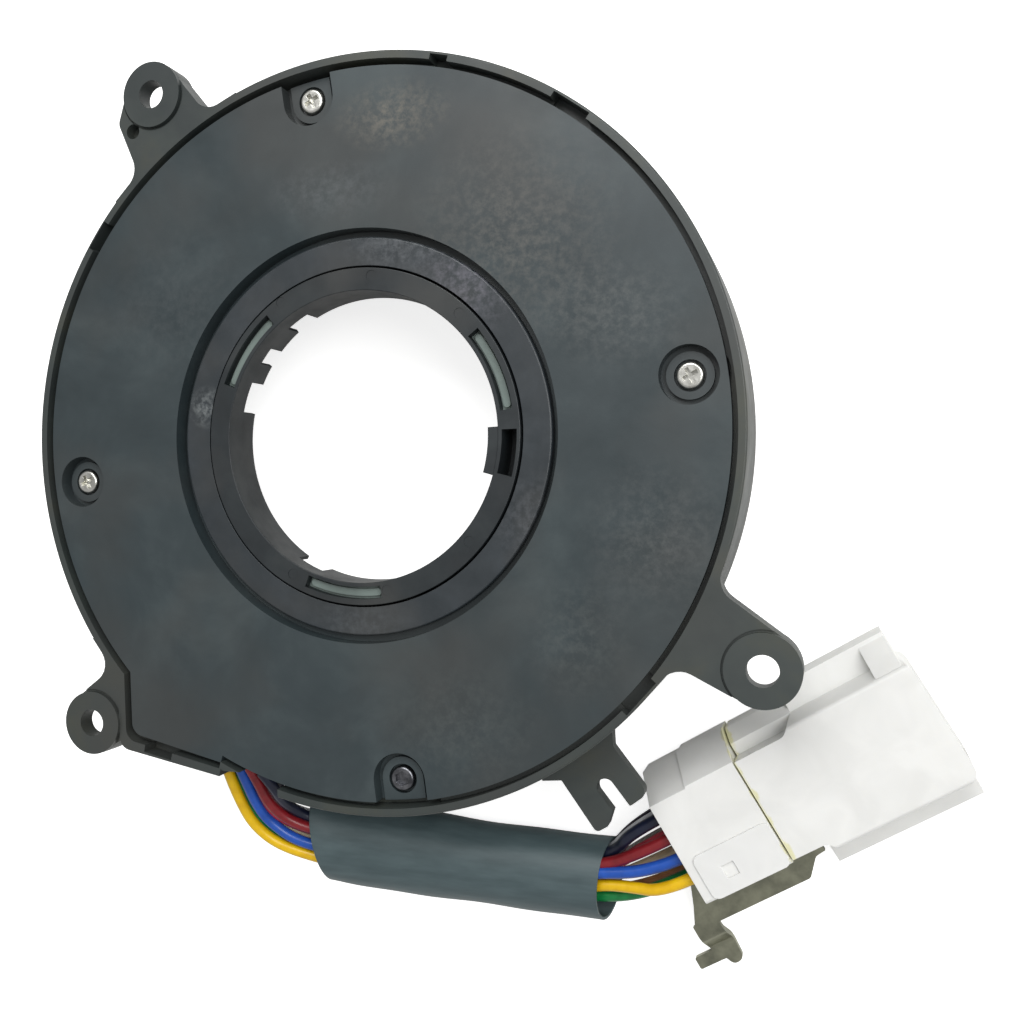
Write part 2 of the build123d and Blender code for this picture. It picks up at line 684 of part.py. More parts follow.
def make_harness_sleeve():
    """Soft oval tube around the wires, cut off at a slant at both ends."""
    count = len(sleeve_half_widths)
    outer, inner = [], []
    for index, (width, height) in enumerate(zip(sleeve_half_widths, sleeve_half_heights)):
        share = index / (count - 1)
        x = sleeve_start_x + (sleeve_end_x - sleeve_start_x) * share
        y, z = sleeve_axis(x)
        slant = radians(sleeve_slants[0] * (1 - share) + sleeve_slants[1] * share)
        tilt = radians(sleeve_tilts[0] * (1 - share) + sleeve_tilts[1] * share)
        frame = Plane(origin=(x, y, z), x_dir=(-sin(slant), cos(slant), 0),
                      z_dir=(cos(slant) * cos(tilt), sin(slant) * cos(tilt), sin(tilt)))
        outer.append(frame * Ellipse(width, height))
        inner.append(frame * Ellipse(width - tube_wall, height - tube_wall))
    return loft(outer) - loft(inner)


def place_connector(shape):
    x, y = connector_centre
    return Pos(x, y, connector_base) * Rot(0, 0, connector_turn) * shape


def slab(u0, u1, v0, v1, w0, w1):
    return Pos((u0 + u1) / 2, (v0 + v1) / 2, (w0 + w1) / 2) * Box(u1 - u0, v1 - v0, w1 - w0)


def along(u0, u1, section):
    """Section across the connector, as points (v, w), drawn out along it."""
    return Pos(u0, 0, 0) * extrude(Plane.YZ * make_face(Polyline(*section, close=True)), u1 - u0)


def bracket_slot():
    """Room in the housings for the bracket's plate."""
    low = bracket_height - connector_base - slot_play
    end, edge = bracket_corners[-1][0] + slot_play, bracket_corners[0][1] + slot_play
    return slab(-main_length, end, -main_length, edge, low, low + sheet + 2 * slot_play)


def make_main_housing():
    """Header shroud: drafted core with a stepped top, side flange, side rail and end mouth."""
    top = connector_height
    foot_far = main_far + main_draft
    core = along(0, main_length, [(-main_near, 0), (-main_near, top), (main_far, top),
                                  (foot_far, flange_height), (foot_far, 0)])
    core = fillet(core.edges().filter_by(Axis.Z).group_by(Axis.X)[-1], main_end_corner)
    beyond = main_length
    flange_start = step_far_length + step_run
    far_step = rounded([(-1, step_far, 0), (step_far_length, step_far, 1.5),
                        (flange_start, foot_far, 0), (flange_start, beyond, 0), (-1, beyond, 0)])
    near_step = rounded([(-1, -step_near, 0), (step_near_length, -step_near, 1.2),
                         (step_near_length + step_run, -main_near - 1, 0), (-1, -main_near - 1, 0)])
    core -= plate(far_step, ledge_height, top + 1) + plate(near_step, -1, top + 1)
    core += along(0, flange_start, [(0, 0), (0, ledge_height), (ledge_far, ledge_height),
                                    (slope_far, slope_height), (slope_far, 0)])
    core += slab(flange_start, main_length - rail_end_gap, 0, flange_far, 0, flange_height)
    core += slab(rail_start, main_length - rail_end_gap, -rail_near, 0, 0, rail_height)
    gusset_top = top - edge_rounding
    core += along(gusset_start, gusset_end, [(0, 0), (0, gusset_top), (main_far, gusset_top),
                                             (flange_far - edge_rounding, flange_height), (flange_far - 1, 0)])
    core = fillet(core.edges().filter_by(Axis.X).group_by(Axis.Z)[-1], edge_rounding)
    mouth = slab(main_length - mouth_depth, main_length + 1, -mouth_near, mouth_far,
                 mouth_floor, top - mouth_roof)
    return place_connector(core - mouth - bracket_slot())


def make_header_pins():
    """Flat pins that stand in the mouth of the main housing."""
    start = main_length - mouth_depth
    columns, layers = header_pin_counts
    pins = []
    for column in range(columns):
        v, w = cavity_place(column, 0)
        for layer in range(layers):
            rise = (layer - (layers - 1) / 2) * header_layer_step
            bar = Box(header_pin_length, pin_width, pin_width)
            pins.append(Pos(start + header_pin_length / 2, v, w + rise) * bar)
    return place_connector(Compound(children=pins))


def make_wire_housing():
    """Wire side: sloping far wall that flares near the seam, and one cavity for each wire."""
    top = connector_height
    body = along(-wire_side_length, -wire_side_seam, [
        (-wire_side_near, wire_side_base), (-wire_side_near, top), (wire_side_far, top),
        (wire_slope_far, wire_slope_height), (wire_slope_far, wire_side_base)])
    body += along(-wire_flare_length, -wire_side_seam, [
        (0, wire_side_base), (0, top), (wire_side_far + wire_flare, top),
        (wire_slope_far + wire_flare, wire_slope_height), (wire_slope_far + wire_flare, wire_side_base)])
    near_edge = body.edges().filter_by(Axis.X).group_by(Axis.Z)[-1].sort_by(Axis.Y)[0]
    body = fillet(near_edge, edge_rounding)
    for column in range(column_count):
        for layer in (-1, 0, 1):
            v, w = cavity_place(column, layer)
            hole = Plane(origin=(-wire_side_length, v, w), z_dir=(1, 0, 0)) * Circle(cavity_radius)
            body -= extrude(hole, cavity_depth)
    return place_connector(body - bracket_slot())


def make_latch_cover():
    """Retainer flap on top of the wire side, with its small square window."""
    length, width = latch_size
    u, v = -wire_side_seam - length / 2, -wire_side_near + width / 2
    window_u, window_v = latch_window_place
    outline = Pos(u, v) * RectangleRounded(length, width, latch_corner)
    outline -= Pos(window_u, window_v) * Rectangle(latch_window, latch_window)
    return place_connector(plate(outline, connector_height, connector_height + latch_rise))


def make_contacts():
    """Crimped contacts at the bottom of the wire cavities."""
    contacts = []
    for column, layer in wire_places.values():
        v, w = cavity_place(column, layer)
        hole = Plane(origin=(cavity_entry - wire_side_length, v, w), z_dir=(1, 0, 0))
        contact = extrude(hole * Circle(cavity_radius - contact_clearance), cavity_depth - cavity_entry)
        contacts.append(place_connector(contact))
    return Compound(children=contacts)


def make_bracket():
    """Bent steel sheet: plate under the connector, edge folded down, and a curved tab with a foot."""
    base = bracket_height - connector_base
    edge_v = bracket_corners[2][1]
    body = plate(rounded(bracket_corners), base, base + sheet)
    fold = slab(fold_ends[0], fold_ends[1], edge_v, edge_v + sheet, 0, base + sheet)
    body += fillet(fold.edges().filter_by(Axis.X).group_by(Axis.Z)[-1].sort_by(Axis.Y)[0], fold_rounding)
    tab = extrude(Plane.YZ * rounded(tab_profile), bracket_tab[1] - bracket_tab[0])
    body += Pos(bracket_tab[0], 0, 0) * tab
    return place_connector(body + plate(rounded(foot_corners), foot_rise, foot_rise + sheet))


def make_all():
    parts = {
        "stator_case": make_stator_case(),
        "rear_cover": make_rear_cover(),
        "cam_ring": make_cam_ring(),
        "clip_ring": make_clip_ring(),
        "retaining_sleeve": make_retaining_sleeve(),
        "front_rotor": make_front_rotor(),
        "airbag_socket": make_socket(airbag_socket_size, airbag_socket_angle),
        "switch_socket": make_socket(switch_socket_size, switch_socket_angle),
        "airbag_pins": make_pins(airbag_pin_counts, airbag_socket_angle),
        "switch_pins": make_pins(switch_pin_counts, switch_socket_angle),
        "ribbon_cable": make_ribbon_cable(),
        "lower_slide_sheet": make_slide_sheet(floor_top),
        "upper_slide_sheet": make_slide_sheet(cover_bottom - sheet_thickness),
        "rotor_terminal_block": make_rotor_block(),
        "stator_terminal_block": make_stator_block(),
        "crimp_terminals": make_crimp_terminals(),
        "harness_sleeve": make_harness_sleeve(),
        "main_housing": make_main_housing(),
        "header_pins": make_header_pins(),
        "wire_housing": make_wire_housing(),
        "latch_cover": make_latch_cover(),
        "wire_contacts": make_contacts(),
        "steel_bracket": make_bracket(),
    }
    for place in screw_places:
        recess = "hexagon" if place[0] == "bottom" else "cross"
        parts["cover_screw_" + place[0]] = make_screw(place, recess)
    for name, (column, layer) in wire_places.items():
        parts[name] = make_wire(name, column, layer)
    return parts


os.makedirs("parts", exist_ok=True)
for name, shape in make_all().items():
    export_step(shape, "parts/" + name + ".step")
    size = shape.bounding_box().size
    print("%-24s solids %2d  size %6.1f %6.1f %6.1f" % (name, len(shape.solids()), size.X, size.Y, size.Z))
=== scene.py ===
# %% [markdown]
# A steering clock spring is the flat round unit between a steering column and its wheel. This lesson builds
# what the camera sees of one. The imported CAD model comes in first, as a fixed frame: every piece made here
# is placed by the same measures, so nothing has to be fitted by eye.

# %% The frame
import bpy
import bmesh
from collections import Counter
from math import atan2, cos, degrees, hypot, pi, radians, sin, tan
from mathutils import Matrix, Vector


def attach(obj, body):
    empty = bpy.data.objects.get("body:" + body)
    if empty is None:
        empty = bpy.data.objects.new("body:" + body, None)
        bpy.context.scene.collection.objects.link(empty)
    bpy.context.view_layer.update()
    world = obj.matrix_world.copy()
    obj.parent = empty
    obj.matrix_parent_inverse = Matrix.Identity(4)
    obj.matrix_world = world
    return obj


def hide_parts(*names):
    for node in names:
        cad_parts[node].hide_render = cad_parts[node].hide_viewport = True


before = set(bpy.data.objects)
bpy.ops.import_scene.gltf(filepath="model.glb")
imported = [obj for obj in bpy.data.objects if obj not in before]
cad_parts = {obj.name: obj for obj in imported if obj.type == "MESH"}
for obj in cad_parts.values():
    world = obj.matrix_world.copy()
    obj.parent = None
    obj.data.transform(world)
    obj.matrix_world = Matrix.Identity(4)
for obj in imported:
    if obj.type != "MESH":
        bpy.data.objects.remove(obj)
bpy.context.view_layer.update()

# %% [markdown]
# The photograph was taken from above and a little to the right, quite near, so the right side wall shows
# and the left one doesn't. The camera's axes were worked out from three circles of the object, and are
# written here as they came out: right, up and back. The shift moves the picture sideways, as the crop of
# the photograph does.

# %% The camera
camera_data = bpy.data.cameras.new("camera")
camera_data.sensor_width = 36
camera_data.lens = 38.67
camera_data.shift_x = 0.0605
camera_data.clip_start = 0.01
camera = bpy.data.objects.new("camera", camera_data)
bpy.context.collection.objects.link(camera)
right = Vector((0.943966, 0.0, -0.330041))
up = Vector((-0.006562, 0.999802, -0.018769))
back = Vector((0.329976, 0.019883, 0.943779))
turn = Matrix((right, up, back)).transposed().to_4x4()
camera.matrix_world = Matrix.Translation((0.066002, -0.007793, 0.171453)) @ turn
bpy.context.scene.camera = camera
bpy.context.scene.view_settings.view_transform = "Standard"

# %% [markdown]
# Colours are written as they look on a screen, in sRGB hex. Blender's shaders want linear light, so one
# function turns the first into the second. Another one adds a node with its settings and links, which keeps
# every material below short enough to read. It hands back an output, so that nodes can be written one
# inside the other.

# %% Helpers for materials
def linear(text, alpha=1.0):
    """An sRGB hex colour as the linear RGBA that shaders take."""
    values = [int(text[i:i + 2], 16) / 255 for i in (1, 3, 5)]
    return [v / 12.92 if v <= 0.04045 else ((v + 0.055) / 1.055) ** 2.4 for v in values] + [alpha]


def add(tree, kind, out=0, stops=(), **inputs):
    """A node's output. Inputs go by name or _number; settings end in an underscore; stops fill a ramp."""
    node = tree.nodes.new("ShaderNode" + kind)
    for name in [n for n in inputs if n[-1] == "_"]:
        setattr(node, name[:-1], inputs.pop(name))
    for name, value in inputs.items():
        socket = node.inputs[int(name[1:])] if name[0] == "_" else node.inputs[name.replace("_", " ")]
        if isinstance(value, bpy.types.NodeSocket):
            tree.links.new(value, socket)
        else:
            socket.default_value = value
    for number, (place, text) in enumerate(stops):
        elements = node.color_ramp.elements
        element = elements[number] if number < 2 else elements.new(place)
        element.position, element.color = place, linear(text)
    return node.outputs[out]


def start_material(name, roughness, ior=1.5, metallic=0.0):
    material = bpy.data.materials.new(name)
    material.use_nodes = True
    tree = material.node_tree
    shader = tree.nodes["Principled BSDF"]
    shader.inputs["Roughness"].default_value = roughness
    shader.inputs["IOR"].default_value = ior
    shader.inputs["Metallic"].default_value = metallic
    return material, tree, shader, add(tree, "TexCoord", "Object")


# %% [markdown]
# The case, cover and rotor are moulded in glass-filled polyester. The spark-eroded tool leaves a dull, fine
# grain, and the short glass fibres leave cloudy patches where the melt ran, some greener, some warmer. On
# top of that come the marks of handling: pale scuffs. The clouds differ in roughness as well as in colour,
# and that is what shows most on a dark plastic. Noise repeats by so many per metre, so 1000 is divided by
# the size in millimetres. The grain is drawn at 0.25 mm so that it shows at all.

# %% Moulded polyester
def polyester(name, dark, middle, light, roughness, cloud=16.0, scuffs=()):
    material, tree, shader, place = start_material(name, roughness, 1.55)
    clouds = add(tree, "TexNoise", Vector=place, Scale=1000 / cloud, Detail=5.0, Roughness=0.62,
                 Distortion=0.35)
    warmth = add(tree, "TexNoise", Vector=place, Scale=590 / cloud, Detail=3.0)
    patches = add(tree, "TexNoise", Vector=place, Scale=2200 / cloud, Detail=4.0, Roughness=0.6)
    fine = add(tree, "TexNoise", Vector=place, Scale=1000 / 0.25, Detail=2.0)
    colour = add(tree, "ValToRGB", Fac=clouds, stops=[(0.30, dark), (0.72, light), (0.50, middle)])
    warm = add(tree, "MapRange", _0=warmth, _1=0.48, _2=0.68, _4=0.55)
    colour = add(tree, "Mix", 2, data_type_="RGBA", _0=warm, _6=colour, _7=linear("#3d3d3b"))
    rough = add(tree, "MapRange", _0=patches, _1=0.3, _2=0.7, _3=roughness - 0.06, _4=roughness + 0.09)
    for spot, radius, stretch, tint, strength in scuffs:
        away = add(tree, "VectorMath", operation_="SUBTRACT", _0=place, _1=[s / 1000 for s in spot])
        away = add(tree, "VectorMath", operation_="MULTIPLY", _0=away, _1=stretch)
        away = add(tree, "VectorMath", "Value", operation_="LENGTH", _0=away)
        near = add(tree, "MapRange", _0=away, _1=radius / 5000, _2=radius / 1000, _3=strength, _4=0.0)
        specks = add(tree, "TexNoise", Vector=place, Scale=1000 / 1.3, Detail=6.0, Roughness=0.72)
        specks = add(tree, "MapRange", _0=specks, _1=0.42, _2=0.66)
        worn = add(tree, "Math", operation_="MULTIPLY", _0=near, _1=specks)
        colour = add(tree, "Mix", 2, data_type_="RGBA", _0=worn, _6=colour, _7=linear(tint))
        rough = add(tree, "Math", operation_="MULTIPLY_ADD", _0=worn, _1=0.2, _2=rough)
    tree.links.new(colour, shader.inputs["Base Color"])
    tree.links.new(rough, shader.inputs["Roughness"])
    grain = add(tree, "Bump", Strength=0.05, Distance=0.0001, Height=fine)
    tree.links.new(grain, shader.inputs["Normal"])
    return material


cover_scuffs = [
    ((24, 28, 24.5), 17, (1, 1, 1), "#6b6862", 0.42), ((38, 16, 24.5), 12, (1, 1.4, 1), "#6a6c6a", 0.36),
    ((6, 46, 24.5), 8, (0.8, 1.4, 1), "#7a7468", 0.55), ((16, -42, 24.5), 14, (1, 1.3, 1), "#4f5553", 0.35),
    ((44, -14, 24.5), 12, (1, 1, 1), "#5d605f", 0.35), ((-4, 36, 24.5), 7, (0.6, 1.4, 1), "#64676a", 0.35),
    ((33, -28, 24.5), 10, (1.2, 1, 1), "#565b59", 0.35), ((-30, 20, 24.5), 15, (1, 1, 1), "#454b4d", 0.35),
]
hub_scuffs = [
    ((17, 22, 23.4), 9, (1, 1, 1), "#77757f", 0.55), ((7, 28, 23.4), 8, (0.8, 1.6, 1), "#73767a", 0.5),
    ((27, -12, 23.4), 8, (1, 1, 1), "#5d6065", 0.45), ((0, -27.5, 23.4), 7, (0.7, 1.5, 1), "#565b5e", 0.4),
    ((-25.5, 5, 23.4), 3.5, (1, 1, 1), "#8b9090", 0.7),
]
cover_finish = polyester("polyester_moulded_cover", "#293336", "#313b3e", "#3f494b", 0.40,
                         scuffs=cover_scuffs)
case_finish = polyester("polyester_moulded_case", "#303636", "#383e3c", "#43453b", 0.44)
rotor_finish = polyester("polyester_moulded_rotor", "#252b2f", "#2c3236", "#363c41", 0.38, 9.0, hub_scuffs)
cam_finish = polyester("polyester_moulded_cam", "#191e21", "#1f2528", "#292f31", 0.42, 9.0)
block_finish = polyester("polyester_moulded_block", "#232729", "#2a2f31", "#33393b", 0.45, 6.0)
print("plastic finishes:", cover_finish.name, case_finish.name, rotor_finish.name)

# %% [markdown]
# The connector and its latch are nylon 66 in its natural white, moulded smooth. It lets a little light in,
# which softens its edges. Where the two housings meet, a narrow ragged strip is painted yellowish: it is
# painted shade in the gap between the housings, not a colour of the resin. The claws of the clip ring are
# natural acetal, whose white is greyer and colder.

# %% Nylon, acetal and films
connector_x, connector_y, connector_z, connector_angle = 56.8, -52.4, 0.3, radians(31.8)
connector_place = (Matrix.Translation((connector_x, connector_y, connector_z))
                   @ Matrix.Rotation(connector_angle, 4, "Z"))


def pale_plastic(name, colour, shade, roughness, depth, painted_seam_shade=None):
    material, tree, shader, place = start_material(name, roughness, 1.53)
    flow = add(tree, "TexNoise", Vector=place, Scale=1000 / 7.0, Detail=3.0, Distortion=0.6)
    tone = add(tree, "ValToRGB", Fac=flow, stops=[(0.35, shade), (0.65, colour)])
    # Where the two housings meet, a ragged strip is painted yellowish shade.
    if painted_seam_shade:
        local = add(tree, "Mapping", vector_type_="TEXTURE", Vector=place, Rotation=(0, 0, connector_angle),
                    Location=(connector_x / 1000, connector_y / 1000, 0))
        ragged = add(tree, "TexNoise", Vector=place, Scale=1000 / 2.5, Detail=4.0)
        reach = add(tree, "MapRange", _0=ragged, _1=0.45, _2=0.75, _4=0.0007)
        away = add(tree, "Math", operation_="ABSOLUTE", _0=add(tree, "SeparateXYZ", Vector=local))
        away = add(tree, "Math", operation_="SUBTRACT", _0=away, _1=reach)
        band = add(tree, "MapRange", _0=away, _1=0.0, _2=0.0003, _3=0.7, _4=0.0)
        tone = add(tree, "Mix", 2, data_type_="RGBA", _0=band, _6=tone, _7=linear(painted_seam_shade))
    tree.links.new(tone, shader.inputs["Base Color"])
    fine = add(tree, "TexNoise", Vector=place, Scale=1000 / 0.6, Detail=2.0)
    tree.links.new(add(tree, "Bump", Strength=0.04, Distance=0.0001, Height=fine), shader.inputs["Normal"])
    shader.inputs["Subsurface Weight"].default_value = 0.15
    shader.inputs["Subsurface Radius"].default_value = (1.0, 0.95, 0.85)
    shader.inputs["Subsurface Scale"].default_value = depth
    return material


nylon = pale_plastic("nylon_natural_moulded", "#ecece9", "#e4e4e1", 0.38, 0.0012, painted_seam_shade="#dcd89c")
acetal = pale_plastic("acetal_natural_moulded", "#77847f", "#68736f", 0.35, 0.0004)
laminate = pale_plastic("polyester_film_laminate", "#cfc9b4", "#c3bca5", 0.30, 0.0003)
film = pale_plastic("ptfe_slide_film", "#e9e8e3", "#dfded8", 0.45, 0.0003)

# %% [markdown]
# The wires are copper in PVC, pulled through a die, so the colour is plain and the gloss even along the
# length. What it gives the eye is one bright line along each wire. A fine waviness keeps that line from
# being perfect. The sleeve is softer PVC: dark, a little dusty, with long faint streaks from its die.

# %% Wire insulation and the soft sleeve
def extruded_pvc(name, colour, shade, roughness, streak, stretch=1.0):
    material, tree, shader, place = start_material(name, roughness, 1.53)
    drawn = add(tree, "Mapping", Vector=place, Scale=(stretch, 1.0, 1.0))
    waves = add(tree, "TexNoise", Vector=drawn, Scale=1000 / streak, Detail=3.0, Roughness=0.6)
    tone = add(tree, "ValToRGB", Fac=waves, stops=[(0.3, shade), (0.7, colour)])
    tree.links.new(tone, shader.inputs["Base Color"])
    rough = add(tree, "MapRange", _0=waves, _3=roughness - 0.05, _4=roughness + 0.08)
    tree.links.new(rough, shader.inputs["Roughness"])
    tree.links.new(add(tree, "Bump", Strength=0.1, Distance=0.0002, Height=waves), shader.inputs["Normal"])
    return material


wire_colours = {
    "wire_navy": ("#1a2038", "#12172a"), "wire_white_thin": ("#e9e9ec", "#d4d4dc"),
    "wire_black": ("#2a1a33", "#1b1224"), "wire_dark_red": ("#8f1f27", "#6d161c"),
    "wire_pink": ("#d84a58", "#c23c4a"), "wire_white": ("#f1efea", "#ddd9d2"),
    "wire_blue": ("#2259bd", "#1b489c"), "wire_cream": ("#e9dfbe", "#d3c8a2"),
    "wire_yellow": ("#f4c80c", "#dfae06"), "wire_green": ("#16904a", "#107039"),
    "wire_brown": ("#b3825a", "#966744"),
}
wire_finishes = {name: extruded_pvc("pvc_extruded_" + name, *pair, 0.3, 3.0)
                 for name, pair in wire_colours.items()}
sleeve_finish = extruded_pvc("pvc_soft_sleeve", "#516164", "#425154", 0.45, 1.6, stretch=0.18)
print("wire colours:", len(wire_finishes))

# %% [markdown]
# Screws and bracket are steel, zinc plated and passivated clear, so they are bright, slightly yellow and a
# bit cloudy. A metal keeps the shader's default index of refraction. The bottom screw is black oxide over
# steel. The pins are brass with a dull tin layer.

# %% Metals
def metal(name, colour, shade, roughness, patch=1.2):
    material, tree, shader, place = start_material(name, roughness, metallic=1.0)
    cloud = add(tree, "TexNoise", Vector=place, Scale=1000 / patch, Detail=4.0, Roughness=0.6)
    tone = add(tree, "ValToRGB", Fac=cloud, stops=[(0.35, shade), (0.65, colour)])
    tree.links.new(tone, shader.inputs["Base Color"])
    rough = add(tree, "MapRange", _0=cloud, _3=roughness - 0.08, _4=roughness + 0.12)
    tree.links.new(rough, shader.inputs["Roughness"])
    tree.links.new(add(tree, "Bump", Strength=0.08, Distance=0.0001, Height=cloud), shader.inputs["Normal"])
    return material


zinc = metal("steel_zinc_plated", "#e6e5df", "#c4c3bb", 0.28)
zinc_sheet = metal("steel_sheet_zinc_plated", "#a9a994", "#8b8c7b", 0.32, patch=3.0)
black_oxide = metal("steel_black_oxide", "#85868a", "#55565a", 0.28)
tinned = metal("brass_tinned", "#cbc3a4", "#b7ae8e", 0.32, patch=0.8)
print("metals:", zinc.name, zinc_sheet.name, black_oxide.name, tinned.name)

# %% [markdown]
# Pieces are drawn in millimetres and turned to metres once, when they are finished. An outline is a flat
# face whose corners are given with their radius; a vertex bevel rounds them. A prism is an outline pulled
# upwards, a lathe turns one about an upright axis, all round or through an angle. Cuts and joins are
# Boolean operations whose result is kept as a mesh.

# %% Helpers for shapes
def to_object(bm, name="tool"):
    mesh = bpy.data.meshes.new(name)
    bmesh.ops.recalc_face_normals(bm, faces=bm.faces)
    bm.to_mesh(mesh)
    bm.free()
    piece = bpy.data.objects.new(name, mesh)
    bpy.context.collection.objects.link(piece)
    return piece


def outline(corners, steps=6):
    """Flat face with corners (x, y) or (x, y, corner radius)."""
    bm = bmesh.new()
    verts = [bm.verts.new((corner[0], corner[1], 0)) for corner in corners]
    bm.faces.new(verts)
    places = [vert.co.copy() for vert in verts]
    for number, corner in enumerate(corners):
        if len(corner) > 2 and corner[2]:
            here, before, after = places[number], places[number - 1], places[(number + 1) % len(places)]
            half = (before - here).angle(after - here) / 2
            bmesh.ops.bevel(bm, geom=[verts[number]], offset=corner[2] / tan(half), offset_type="OFFSET",
                            affect="VERTICES", segments=steps, profile=0.5, material=-1)
    return bm


def prism(corners, low, high, place=None):
    bm = outline(corners)
    pulled = bmesh.ops.extrude_face_region(bm, geom=bm.faces[:])["geom"]
    top = [g for g in pulled if isinstance(g, bmesh.types.BMVert)]
    bmesh.ops.translate(bm, verts=top, vec=(0, 0, high - low))
    bmesh.ops.translate(bm, verts=bm.verts, vec=(0, 0, low))
    if place:
        bmesh.ops.transform(bm, verts=bm.verts, matrix=place)
    return to_object(bm)


def lathe(corners, middle=0.0, span=360.0, steps=256, x=0.0, y=0.0):
    """Outline (radius, height) turned all round, or through an angle on both sides of its middle."""
    bm = outline(corners)
    full = span >= 360
    start = radians(middle if full else middle - span / 2)
    upright = Matrix.Rotation(start, 4, "Z") @ Matrix.Rotation(pi / 2, 4, "X")
    bmesh.ops.transform(bm, verts=bm.verts, matrix=upright)
    if full:
        bmesh.ops.delete(bm, geom=bm.faces[:], context="FACES_ONLY")
        on_axis = [e for e in bm.edges if all(hypot(v.co.x, v.co.y) < 1e-6 for v in e.verts)]
        bmesh.ops.delete(bm, geom=on_axis, context="EDGES")
    bmesh.ops.spin(bm, geom=bm.verts[:] + bm.edges[:] + bm.faces[:], axis=(0, 0, 1), cent=(0, 0, 0),
                   angle=radians(span), steps=steps, use_merge=full, use_duplicate=False)
    bmesh.ops.remove_doubles(bm, verts=bm.verts, dist=1e-4)
    bmesh.ops.translate(bm, verts=bm.verts, vec=(x, y, 0))
    return to_object(bm)


def ring(outer, inner, low, high, middle=0.0, span=360.0, steps=256):
    return lathe([(inner, low), (outer, low), (outer, high), (inner, high)], middle, span, steps)


def drum(radius, low, high, x=0.0, y=0.0, steps=64):
    bm = bmesh.new()
    bmesh.ops.create_cone(bm, cap_ends=True, segments=steps, radius1=radius, radius2=radius, depth=high - low)
    bmesh.ops.translate(bm, verts=bm.verts, vec=(x, y, (low + high) / 2))
    return to_object(bm)


def slab(x0, x1, y0, y1, z0, z1, place=None):
    return prism([(x0, y0), (x1, y0), (x1, y1), (x0, y1)], z0, z1, place)


def settled(piece):
    """The piece with its modifiers made into mesh."""
    bpy.context.view_layer.update()
    done = bpy.data.meshes.new_from_object(piece.evaluated_get(bpy.context.evaluated_depsgraph_get()))
    piece.modifiers.clear()
    piece.data = done
    return piece


def boolean(piece, operation, tools):
    for tool in tools:
        step = piece.modifiers.new("step", "BOOLEAN")
        step.operation, step.solver, step.object = operation, "EXACT", tool
        settled(piece)
        bpy.data.objects.remove(tool)
    return piece


def join(piece, *tools):
    return boolean(piece, "UNION", tools)


def cut(piece, *tools):
    return boolean(piece, "DIFFERENCE", tools)


def polar(angle, distance):
    return distance * cos(radians(angle)), distance * sin(radians(angle))


def turned(angle, x=0.0, y=0.0):
    return Matrix.Translation((x, y, 0)) @ Matrix.Rotation(radians(angle), 4, "Z")


def tidy(piece, near=0.004, flat=0.4):
    """Merges doubles and drops edges that bend less than the flat angle, for clean edges to round."""
    bm = bmesh.new()
    bm.from_mesh(piece.data)
    bmesh.ops.remove_doubles(bm, verts=bm.verts, dist=near)
    bmesh.ops.dissolve_degenerate(bm, dist=near, edges=bm.edges)
    if flat:
        bmesh.ops.dissolve_limit(bm, angle_limit=radians(flat), verts=bm.verts, edges=bm.edges, delimit=set())
    bmesh.ops.recalc_face_normals(bm, faces=bm.faces)
    bm.to_mesh(piece.data)
    bm.free()
    return piece


def finished(piece, name, body, nodes, finish, rounding=0.15, place=None):
    """Names the piece, rounds its edges, turns it to metres and hands it to its body."""
    piece.name = piece.data.name = name
    if place:
        piece.data.transform(place)
    if not rounding:
        tidy(piece, 0.0001, 0)
    else:
        tidy(piece)
        edge = piece.modifiers.new("edge", "BEVEL")
        edge.width, edge.segments, edge.limit_method, edge.angle_limit = rounding, 2, "ANGLE", radians(32)
        tidy(settled(piece), 0.002, 0)
    piece.data.shade_smooth()
    piece.data.set_sharp_from_angle(angle=radians(38))
    weights = piece.modifiers.new("even", "WEIGHTED_NORMAL")
    weights.keep_sharp = True
    settled(piece)
    piece.data.transform(Matrix.Scale(0.001, 4))
    piece.data.materials.clear()
    piece.data.materials.append(finish)
    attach(piece, body)
    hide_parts(*nodes)
    uses = Counter(key for polygon in piece.data.polygons for key in polygon.edge_keys)
    print(name, len(piece.data.polygons), "faces, open edges:", sum(count != 2 for count in uses.values()))
    return piece


# %% [markdown]
# The case is one moulding: a shallow ring with a lip, a square house in one corner for the wires'
# terminals, three ears and a wire hook. Places on it are written as an angle around the axis and a distance
# beyond the wall, because that is how they were measured in the photograph. Where an ear meets the wall,
# the outline has a corner with a radius of 3 mm: a moulding is never left with a sharp inner corner, which
# would tear. The rim is rounded in the outline that is turned. Pieces in which many cuts meet get no bevel:
# it would tear there, and not the same way in each run.

# %% Measures of the case
case_radius, lip_radius, cover_radius, wall_radius = 55.4, 54.2, 53.4, 51.9
rim_top, cover_top, cover_bottom, floor_top, floor_bottom = 25.0, 24.5, 22.5, 12.8, 11.2


def on_case(corners):
    return [(*polar(angle, case_radius + beyond), *radius) for angle, beyond, *radius in corners]


def house(inset):
    """Corner of the terminal house, set in from its outside wall."""
    (x, y), (end_x, end_y), (root_x, root_y) = on_case([(230.1, 7.85), (246.3, 0.93), (225.0, -13.0)])
    slope = (end_y - y) / (end_x - x)
    return [(x + inset - 0.6, root_y), (x + inset, y + inset * (1 - slope), 2.0), (end_x, end_y + inset),
            (end_x + 1.2, end_y + 6.6), (root_x, root_y)]


